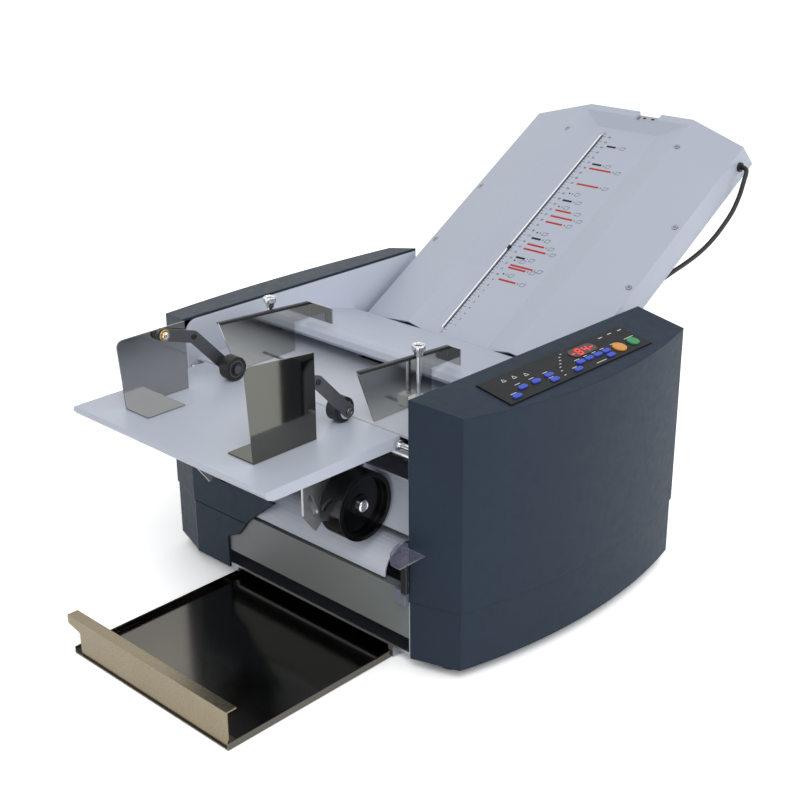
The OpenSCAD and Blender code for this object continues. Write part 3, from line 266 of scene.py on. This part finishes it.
def clear(name, colour, shade):
    """Clear plastic with a faint tint and a few rub marks."""
    m, nt, p = new_mat(name)
    p.inputs["Transmission Weight"].default_value = 0.85
    p.inputs["IOR"].default_value = 1.49
    vec = coords(nt)
    nt.links.new(mix_colour(nt, ramp(nt, noise(nt, vec, 40, 3), 0.3, 0.7, 0, 1), shade, colour),
                 p.inputs["Base Color"])
    nt.links.new(ramp(nt, noise(nt, vec, 500, 4), 0.4, 0.7, 0.04, 0.14), p.inputs["Roughness"])
    return m


M["clear"] = clear("clear_plastic", lin(206, 206, 226), lin(190, 190, 214))

LOOK = {
    "dark": ["cover_near_upper", "cover_near_lower", "cover_far_upper", "cover_far_lower"],
    "wall": ["inner_walls", "delivery_guides"],
    "apron": ["front_apron"],
    "pale": ["feed_hood", "fold_shell_upper", "fold_shell_lower"],
    "tray": ["feed_tray"],
    "sheet": ["feed_table"],
    "steel": ["base_plate", "side_frames", "wheel_brackets", "second_fold_plate",
              "drive_motor", "fold_roller_1", "fold_roller_2",
              "fold_roller_3", "fold_roller_4"],
    "plate": ["tray_guide_near"],
    "far_plate": ["tray_guide_far"],
    "mirror": ["front_guide_near", "front_guide_far"],
    "clear": ["exit_guide"],
    "tray_steel": ["stacker_tray"],
    "stop_steel": ["stop_plate"],
    "chrome": ["tie_bars", "clamp_knob_near", "clamp_knob_far"],
    "screw": ["fold_screws"],
    "brass": ["motor_pinion"],
    "arm": ["roller_arm_near", "roller_arm_far"],
    "rubber": ["rubber_feet", "feed_roller", "cable_grommets"],
    "tyre": ["paper_roller_near", "paper_roller_far"],
    "gloss": ["delivery_wheels"],
    "panel": ["keypad_plate"],
    "black": ["fold_stop"],
    "window": ["number_window"],
    "board": ["circuit_board"],
    "cork": ["separator_pad"],
    "blue": ["key_%d" % i for i in range(1, 12)],
    "orange": ["stop_key"],
    "green": ["start_key"],
    "cable": ["cable"],
}
for look, names in LOOK.items():
    for n in names:
        N[n].data.materials.clear()
        N[n].data.materials.append(M[look])


# ---------- piece helpers ----------
def add_mesh(name, bm, mat, smooth=False, body=None, bevel=0.0, segs=2):
    """A piece from bm that rides on a body, with its edges bevelled if bevel is set."""
    me = bpy.data.meshes.new(name)
    bmesh.ops.recalc_face_normals(bm, faces=bm.faces)
    bm.to_mesh(me)
    bm.free()
    ob = bpy.data.objects.new(name, me)
    scene.collection.objects.link(ob)
    me.materials.append(mat)
    for f in me.polygons:
        f.use_smooth = smooth
    if smooth:
        me.set_sharp_from_angle(angle=SHARP)
    if bevel:
        b = ob.modifiers.new("bevel", "BEVEL")
        b.width = bevel
        b.segments = segs
        b.limit_method = "ANGLE"
        b.angle_limit = SHARP
    if body:
        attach(ob, body)
    return ob


def prism(bm, outline, h0, h1, place):
    """A prism on an outline of (a, b) points, each point put through place(a, b, h)."""
    rings = [[bm.verts.new(place(a, b, h)) for a, b in outline] for h in (h0, h1)]
    bm.faces.new(rings[0][::-1])
    bm.faces.new(rings[1])
    n = len(outline)
    for i in range(n):
        j = (i + 1) % n
        bm.faces.new((rings[0][i], rings[0][j], rings[1][j], rings[1][i]))


def rect(a0, a1, b0, b1):
    """The outline of a rectangle."""
    return [(a0, b0), (a1, b0), (a1, b1), (a0, b1)]


def lathe(bm, at, axis, profile, steps=40, ripple=None, loop=False):
    """Turns (distance, radius) points in millimetres about an axis through a point."""
    a = Vector(axis).normalized()
    u = a.orthogonal().normalized()
    v = a.cross(u)
    rings = []
    for t, r in profile:
        ring = []
        for i in range(steps):
            w = 2 * math.pi * i / steps
            k = ripple(t, r, w) if ripple else r
            ring.append(bm.verts.new(at + (a * t + (u * math.cos(w) + v * math.sin(w)) * k) / 1000))
        rings.append(ring)
    pairs = list(zip(rings, rings[1:]))
    if loop:
        pairs.append((rings[-1], rings[0]))
    else:
        bm.faces.new(rings[0][::-1])
        bm.faces.new(rings[-1])
    for p, q in pairs:
        for i in range(steps):
            j = (i + 1) % steps
            bm.faces.new((p[i], p[j], q[j], q[i]))


def bored_block(bm, lo, hi, centre, r):
    """A block with an upright bore, in the body's millimetres."""
    cx, cy = centre
    turns = [2 * math.pi * i / 40 for i in range(40)]
    turns += [math.atan2(y - cy, x - cx) % (2 * math.pi) for x in (lo[0], hi[0])
              for y in (lo[1], hi[1])]
    loops = [[], [], [], []]
    for w in sorted(turns):
        c, s = math.cos(w), math.sin(w)
        reach = min(((high if k > 0 else low) - mid) / k for k, mid, low, high in
                    ((c, cx, lo[0], hi[0]), (s, cy, lo[1], hi[1])) if abs(k) > 1e-9)
        for k, (d, z) in enumerate([(r, lo[2]), (reach, lo[2]), (reach, hi[2]), (r, hi[2])]):
            loops[k].append(bm.verts.new(P(cx + c * d, cy + s * d, z)))
    n = len(turns)
    for k in range(4):
        p, q = loops[k], loops[(k + 1) % 4]
        for i in range(n):
            j = (i + 1) % n
            bm.faces.new((p[i], p[j], q[j], q[i]))


def digits(bm, text, size, place):
    """Plain figures, each point put through place(across, up, height)."""
    cu = bpy.data.curves.new("figures", "FONT")
    cu.body = text
    cu.size = size
    cu.align_x = "CENTER"
    cu.align_y = "CENTER"
    cu.extrude = PRINT / 2
    cu.resolution_u = 3
    ob = bpy.data.objects.new("figures", cu)
    me = bpy.data.meshes.new_from_object(ob)
    new = [bm.verts.new(place(*v.co)) for v in me.vertices]
    for f in me.polygons:
        bm.faces.new([new[i] for i in f.vertices])
    bpy.data.objects.remove(ob)
    bpy.data.curves.remove(cu)
    bpy.data.meshes.remove(me)


# ---------- cable ----------
ROUTE = [(414.6, -159.1, 443), (414, -164, 442.8), (411, -168.5, 441), (406.5, -171, 437),
         (402, -172, 431), (399, -172, 424), (396.5, -171, 414), (393, -169.5, 404),
         (388, -168, 394), (381.5, -166, 384.5), (372, -163, 373), (361, -160, 362),
         (347, -156.5, 351.5), (331, -152.5, 342.5), (313, -148.5, 335), (294, -144, 328),
         (275, -138, 319), (257, -130, 307), (240, -120, 291), (225, -109, 273.5),
         (211, -99.5, 257), (200, -93.5, 245), (192, -91.3, 238.5), (183.1, -91, 236)]


def curve_points(pts, k):
    """Smooth curve through points, with k steps between two of them."""
    out = []
    n = len(pts)
    v = [Vector(p) / 1000 for p in pts]
    for i in range(n - 1):
        a, b, c, d = v[max(i - 1, 0)], v[i], v[i + 1], v[min(i + 2, n - 1)]
        for j in range(k):
            t = j / k
            out.append(0.5 * ((2 * b) + (c - a) * t + (2 * a - 5 * b + 4 * c - d) * t * t
                              + (3 * b - a - 3 * c + d) * t ** 3))
    out.append(v[-1])
    return out


CABLE_D = 0.006             # metres
line = curve_points(ROUTE, 5)
cd = bpy.data.curves.new("cable_cord", "CURVE")
cd.dimensions = "3D"
cd.bevel_depth = CABLE_D / 2
cd.bevel_resolution = 5
cd.use_fill_caps = True
sp = cd.splines.new("POLY")
sp.points.add(len(line) - 1)
for q, p in zip(sp.points, line):
    q.co = (p.x, p.y, p.z, 1)
cord = bpy.data.objects.new("cable_cord", cd)
scene.collection.objects.link(cord)
cd.materials.append(M["cable"])
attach(cord, "machine")
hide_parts("cable")

# ---------- printed marks ----------
PRINT = 0.12                # thickness of a print, in millimetres
A_PAD, A_FOLD = math.radians(10.4), math.radians(31)
FOLD_X, FOLD_Z = 171, 308   # where the fold plate's slope starts
PAD_Z, WINDOW_Z = 1.6, 2.2  # faces of the keypad and its window, above the cover
FLOOR_V = 3.0               # the fold plate's flat floor, above its edge line


def on_pad(x, u, h):
    """A point on the keypad: along the machine, up the slope and above the cover."""
    return P(x, -WALL_OUT + u * math.cos(A_PAD) - h * math.sin(A_PAD),
             COVER_TOP + u * math.sin(A_PAD) + h * math.cos(A_PAD))


def on_fold(s, y, v):
    """A point on the fold plate: up the slope, across and above its edge line."""
    return P(FOLD_X + s * math.cos(A_FOLD) - v * math.sin(A_FOLD), y,
             FOLD_Z + s * math.sin(A_FOLD) + v * math.cos(A_FOLD))


def stroke(bm, p, q, w, h, place):
    """A straight printed line from p to q, w wide."""
    d = (Vector(q) - Vector(p)).normalized() * w / 2
    n = Vector((-d.y, d.x))
    outline = [tuple(Vector(p) - n), tuple(Vector(q) - n), tuple(Vector(q) + n),
               tuple(Vector(p) + n)]
    prism(bm, outline, h, h + PRINT, place)


# Keypad: short lines where the real plate has words and signs
bm = bmesh.new()
for x, u in [(83, -27.5), (101, -27), (119, -27.7)]:
    stroke(bm, (x - 3.5, u), (x + 3.5, u), 1.2, PAD_Z, on_pad)
for x0, x1, u in [(105, 122, -45), (79, 88, -44.5), (12, 21, -45.5), (29, 35, -45),
                  (44, 51, -45), (59, 66, -45), (-4, 4, -55), (30, 48, -63), (-107, -98, -54.5),
                  (-87, -79, -43.5), (-65, -57, -44), (-44, -36, -54.5), (-42, -34, -44)]:
    stroke(bm, (x0, u), (x1, u), 0.9, PAD_Z, on_pad)
for x, u in [(-90.7, -30.7), (-74.5, -31.7), (-58.7, -35)]:
    for p, q in [((x - 3, u - 2), (x + 3, u - 2)), ((x - 3, u - 2), (x, u + 3)),
                 ((x + 3, u - 2), (x, u + 3))]:
        stroke(bm, p, q, 0.7, PAD_Z, on_pad)
for x, u in [(11, -27), (4, -31), (-1, -36), (-7, -41), (-13, -46), (-18, -52), (-22, -60)]:
    stroke(bm, (x - 1.6, u), (x + 1.6, u), 1.0, PAD_Z, on_pad)
add_mesh("keypad_marks", bm, M["mark"], body="machine")

# Lit figures in the number window
SEGMENTS = {"8": "abcdefg", "4": "bcfg", "-": "g"}


def segment_figure(bm, figure, x, u, w, hgt, t):
    """One seven-segment figure with its middle at (x, u)."""
    ends = {"a": (0, hgt / 2, 0), "g": (0, 0, 0), "d": (0, -hgt / 2, 0), "b": (w / 2, hgt / 4, 1),
            "c": (w / 2, -hgt / 4, 1), "f": (-w / 2, hgt / 4, 1), "e": (-w / 2, -hgt / 4, 1)}
    for s in SEGMENTS[figure]:
        ca, cb, upright = ends[s]
        half = (hgt / 4 if upright else w / 2) - 0.35
        shape = [(-half, 0), (-half + t / 2, -t / 2), (half - t / 2, -t / 2), (half, 0),
                 (half - t / 2, t / 2), (-half + t / 2, t / 2)]
        if upright:
            shape = [(b, a) for a, b in shape[::-1]]
        shape = [(a + ca, b + cb) for a, b in shape]
        prism(bm, [(x + a + 0.14 * b, u + b) for a, b in shape], WINDOW_Z, WINDOW_Z + PRINT,
              on_pad)


bm = bmesh.new()
for figure, x in [("-", 23.5), ("8", 33.5), ("4", 45.5), ("-", 55.5)]:
    segment_figure(bm, figure, x, -35.3, 6.6, 10.5, 1.7)
add_mesh("window_figures", bm, M["led"], body="machine")

# Scale beside the slot of the fold plate
PITCH, TOP_TICK = 10.37, 283.7
SCALE_Y = 36.4              # the scale's base line
SCALE_LOW, SCALE_HIGH = -98, 294
LABELS = 36
LIFT = 0.06                 # brings a figure, which is centred on its plane, off the plate
bm = bmesh.new()
for i in range(-2, 75):
    s = TOP_TICK - PITCH / 2 * i
    if SCALE_LOW < s < SCALE_HIGH:
        stroke(bm, (s, SCALE_Y), (s, 31 if i % 2 == 0 else 33.5), 0.45, FLOOR_V, on_fold)
stroke(bm, (SCALE_HIGH - 1, SCALE_Y), (SCALE_LOW, SCALE_Y), 0.4, FLOOR_V, on_fold)
for i in range(LABELS):
    s = TOP_TICK - PITCH * i
    digits(bm, str(LABELS - i), 4.4,
           lambda a, b, h, s=s: on_fold(s + b, 25 - a, FLOOR_V + h + LIFT))
LONG_BLACK = (266.8, 230.7, 158.3, 84.6, 48.2)
SHORT_BLACK = (172, 146, 95, 42.5, 17)
for s in LONG_BLACK:
    stroke(bm, (s, 18.5), (s, 4), 3.2, FLOOR_V, on_fold)
for s in SHORT_BLACK:
    stroke(bm, (s, 17.6), (s, 15.4), 2.2, FLOOR_V, on_fold)
RED = [(222, -17), (191, -17), (139, -8), (127.7, -17.6), (116.3, -9), (73.3, -9.5),
       (64.5, -18), (33.7, -19), (29, -10.7), (7, -10)]
BESIDE = [(s, 4) for s in LONG_BLACK] + [(s, 15) for s in SHORT_BLACK] + RED
for k, (s, y) in enumerate(BESIDE):
    digits(bm, str(k % 4 + 1), 4.2,
           lambda a, b, h, s=s, y=y: on_fold(s + b, y - 3.4 - a, FLOOR_V + h + LIFT))
    sheet = [(s - 2.6, y - 7), (s + 2.6, y - 8.5), (s + 2.6, y - 15), (s - 2.6, y - 13.5)]
    for p, q in zip(sheet, sheet[1:] + sheet[:1]):
        stroke(bm, p, q, 0.4, FLOOR_V, on_fold)
add_mesh("scale_black", bm, M["ink"], body="machine")
bm = bmesh.new()
for s, y in RED:
    stroke(bm, (s, 17.5), (s, y), 3.0, FLOOR_V, on_fold)
add_mesh("scale_red", bm, M["red"], body="machine")

# A thin chrome strip along the slot's far edge, put there as a painted highlight on that edge
bm = bmesh.new()
prism(bm, rect(-88, 286, 39.6, 41.4), FLOOR_V, FLOOR_V + 0.35, on_fold)
add_mesh("slot_edge_highlight_strip", bm, M["chrome"], body="machine", bevel=0.0001, segs=1)

# Black crosses and rings on the fold plate's screws: painted shade in their cross recesses and sunk
# seats
FLANK_RISE, FLANK_RUN, FLANK_EDGE = 14, 83, 165
EDGE_FALL = math.atan2(FLANK_RISE, FLANK_RUN)
SCREW_SINK = 1.2
SEAT_R = 4.3
bm = bmesh.new()
painted_recess_shade = bmesh.new()
for side in (-1, 1):
    for s, y in ((46, 157), (154, 157), (278, 88)):
        v = FLANK_RISE * (FLANK_EDGE - y) / FLANK_RUN - SCREW_SINK

        def on_screw(a, b, h, s=s, y=y, v=v, side=side):
            """Points in the plane of a sunk screw's head."""
            return on_fold(s + a, side * (y + b * math.cos(EDGE_FALL)),
                           v + h - b * math.sin(EDGE_FALL))

        # A black cross on each head, painted shade in its cross recess
        for a0, a1, b0, b1 in ((-2.3, 2.3, -0.45, 0.45), (-0.45, 0.45, -2.3, 2.3)):
            prism(bm, rect(a0, a1, b0, b1), 0.02, 0.14, on_screw)
        # A black ring round each head, painted shade in its sunk seat
        ring = [(SEAT_R * math.cos(math.pi * k / 12), SEAT_R * math.sin(math.pi * k / 12))
                for k in range(24)]
        prism(painted_recess_shade, ring, -0.35, -0.2, on_screw)
add_mesh("screw_cross_shade", bm, M["ink"], body="machine")
add_mesh("screw_seat_shade", painted_recess_shade, M["ink"], body="machine")

# ---------- tray guides ----------
PIVOT, ELBOW, WHEEL_C = (-290, 341.3), (-248, 328), (-205, 282.3)
NEAR_TAIL, FAR_TAIL = 100, 107
ARM_IN, ARM_T = 5, 3        # from a plate's inner face to its arm, and the arm's thickness


def at_y(p, y):
    """The point (x, z) of p, in the plane at y."""
    return P(p[0], y, p[1])


for name, side, tail in [("near", -1, NEAR_TAIL), ("far", 1, FAR_TAIL)]:
    arm = tail - ARM_IN
    inward = (0, -side, 0)
    bm = bmesh.new()
    lathe(bm, at_y(PIVOT, side * (arm - 2.9)), inward,
          [(0, 3.4), (0, 6.4), (0.5, 6.9), (1.1, 6.9), (1.5, 6.4), (1.5, 3.4)], 48, loop=True)
    add_mesh("pivot_washer_" + name, bm, M["brass"], True, "tray_guide_" + name)
    bm = bmesh.new()
    lathe(bm, at_y(PIVOT, side * (arm - 3)), inward,
          [(0, 3.3), (1.9, 4.4), (2.6, 4.3), (3.3, 3.4), (3.6, 2.2), (3.1, 2.0), (3.1, 0.3)], 40)
    add_mesh("pivot_screw_" + name, bm, M["chrome"], True, "tray_guide_" + name)
    # Elbow screws with a hexagon socket, one on each face of the arm
    bm = bmesh.new()
    for face, way in ((arm, -side), (arm + ARM_T, side)):
        lathe(bm, at_y(ELBOW, side * face), (0, way, 0),
              [(0, 3.3), (0.9, 3.3), (1.2, 3.0), (1.2, 1.7), (0.5, 1.6), (0.5, 0.2)], 36)
    add_mesh("elbow_screws_" + name, bm, M["black"], True, "roller_arm_" + name)
    # Screw head over the roller's axle, on the arm's outer face
    bm = bmesh.new()
    lathe(bm, at_y(WHEEL_C, side * (arm + ARM_T)), (0, side, 0),
          [(0, 4.3), (1.0, 4.3), (1.6, 3.8), (1.8, 2.4), (1.2, 2.0), (1.2, 0.3)], 36)
    add_mesh("axle_screw_" + name, bm, M["hub"], True, "roller_arm_" + name)
    # Bright collar between the arm and the roller
    bm = bmesh.new()
    lathe(bm, at_y(WHEEL_C, side * (arm - 3.9)), (0, side, 0),
          [(0, 6.2), (0, 8.6), (0.4, 9.2), (3.4, 9.2), (3.8, 8.6), (3.8, 6.2)], 48, loop=True)
    add_mesh("axle_collar_" + name, bm, M["chrome"], True, "roller_arm_" + name)
    # Hub faces of the roller, just proud of its tyre
    bm = bmesh.new()
    for face, way in ((arm - 4.3, side), (arm - 18.3, -side)):
        lathe(bm, at_y(WHEEL_C, side * face - way * 0.6), (0, way, 0),
              [(0, 5.3), (0, 9.8), (0.7, 9.8), (0.8, 9.4), (0.5, 8.6), (0.5, 5.3)], 48, loop=True)
    add_mesh("roller_hub_" + name, bm, M["hub"], True, "paper_roller_" + name)

# ---------- clamps of the front guides ----------
ROD = (-121, 119)
TURNED = [(257.7, 0.2), (257.7, 7.2), (258.4, 8), (263, 8), (263.7, 7.2), (263.7, 3), (327, 3),
          (327.1, 4.4), (328, 4.9), (331.2, 5.2), (332.2, 5.9), (333.6, 7.0), (334.4, 7.4),
          (339.2, 7.5), (339.8, 7.2), (340, 6.8), (340, 6.0), (339.4, 5.6), (336.6, 5.3),
          (336.6, 0.2)]


def knob_ripple(t, r, w):
    """A six-sided nut, and shallow flutes round the knob."""
    if t < 264 and r > 4:
        return min(r, 7.1 / math.cos(w % (math.pi / 3) - math.pi / 6))
    if 332 < t < 339.5 and r > 5.7:
        return r * (0.965 + 0.035 * abs(math.cos(9 * w)))
    return r


for name, side in (("near", -1), ("far", 1)):
    knob, guide = "clamp_knob_" + name, "front_guide_" + name
    bm = bmesh.new()
    lathe(bm, P(ROD[0], side * ROD[1], 0), (0, 0, 1), TURNED, 108, knob_ripple)
    ob = add_mesh("turned_knob_" + name, bm, M["chrome"], True, knob)
    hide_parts(knob)
    bm = bmesh.new()
    lathe(bm, P(ROD[0], side * ROD[1], 336.5), (0, 0, 1),
          [(0, 5.2), (0.5, 5.2), (0.5, 2.4), (0.3, 2.2), (0.3, 0.2)], 40)
    add_mesh("knob_well_" + name, bm, M["black"], True, knob)
    # White plastic block on the guide's foot, with the rod's bore
    ys = sorted((side * 111.65, side * 126.7))
    bm = bmesh.new()
    bored_block(bm, (-130.2, ys[0], 267.25), (-111.8, ys[1], 280.5), (ROD[0], side * ROD[1]), 3.1)
    add_mesh("clamp_block_" + name, bm, M["white"], False, guide, 0.0007, 2)
    # Dark edging over the guide's hem
    bm = bmesh.new()
    edge = [(-206.3, 331.4), (-204, 327.7), (-65.8, 318.7), (-65.8, 322.4)]
    ys = sorted((side * 109.75, side * 114.8))
    prism(bm, edge, ys[0], ys[1], lambda a, b, h: P(a, h, b))
    add_mesh("hem_edging_" + name, bm, M["black"], False, guide, 0.0006, 2)

# ---------- exit guide's clamp and stem ----------
bm = bmesh.new()
prism(bm, rect(-205.75, -200.2, -177.7, -161.3), 78.8, 96.0, P)
add_mesh("exit_clamp", bm, M["clamp_grey"], False, "exit_guide", 0.0008, 3)
bm = bmesh.new()
prism(bm, rect(-209.2, -205.4, -182.7, -174.3), 96.1, 146, P)
add_mesh("exit_stem", bm, M["black"], False, "exit_guide", 0.0008, 2)

# ---------- delivery wheels ----------
for name, side in (("near", -1), ("far", 1)):
    bm = bmesh.new()
    lathe(bm, P(-205, side * 113.7, 178), (0, side, 0),
          [(0, 7), (3.4, 7), (4.4, 6.2), (4.8, 5), (4.1, 4.2), (4.1, 0.4)], 44)
    add_mesh("wheel_screw_" + name, bm, M["chrome"], True, "delivery_wheels")

# ---------- stage and light ----------
bm = bmesh.new()
bmesh.ops.create_grid(bm, x_segments=1, y_segments=1, size=12)
floor_me = bpy.data.meshes.new("floor")
bm.to_mesh(floor_me)
bm.free()
floor = bpy.data.objects.new("floor", floor_me)
floor.location.z = -0.0005
scene.collection.objects.link(floor)
FLOOR_LIT, FLOOR_SEEN = (0.86, 0.86, 0.87, 1), (1.9, 1.9, 1.9, 1)
WORLD_LIT, WORLD_SEEN = 0.55, 1.0
m, nt, p = new_mat("floor_pale")
p.inputs["Roughness"].default_value = 0.9
p.inputs["Specular IOR Level"].default_value = 0.0


def seen_rays(nt):
    """One for the rays that show a background: camera, glossy and transmission rays."""
    lp = node(nt, "ShaderNodeLightPath")
    out = lp.outputs["Is Camera Ray"]
    for kind in ("Is Glossy Ray", "Is Transmission Ray"):
        top = node(nt, "ShaderNodeMath", operation="MAXIMUM")
        nt.links.new(out, top.inputs[0])
        nt.links.new(lp.outputs[kind], top.inputs[1])
        out = top.outputs[0]
    return out


nt.links.new(mix_colour(nt, seen_rays(nt), FLOOR_LIT, FLOOR_SEEN),
             p.inputs["Base Color"])
floor_me.materials.append(m)

world = bpy.data.worlds.new("world")
scene.world = world
world.use_nodes = True
wt = world.node_tree
bg = wt.nodes["Background"]
wt.links.new(ramp(wt, seen_rays(wt), 0, 1, WORLD_LIT, WORLD_SEEN), bg.inputs["Strength"])
bg.inputs["Color"].default_value = (1, 1, 1, 1)


def area(name, at, aim, size, power):
    """A soft square lamp that looks from at to aim."""
    ld = bpy.data.lights.new(name, "AREA")
    ld.shape = "SQUARE"
    ld.size = size
    ld.energy = power
    lo = bpy.data.objects.new(name, ld)
    scene.collection.objects.link(lo)
    lo.location = at
    lo.rotation_euler = (Vector(at) - Vector(aim)).to_track_quat("Z", "Y").to_euler()


area("key", (-1.6, -1.6, 2.4), (0, 0, 0.2), 1.4, 26)
area("fill", (1.2, -2.2, 1.3), (0, 0, 0.2), 1.6, 13)
area("rear", (0.6, 1.8, 2.2), (0, 0, 0.3), 1.6, 4)

scene.view_settings.view_transform = "Standard"
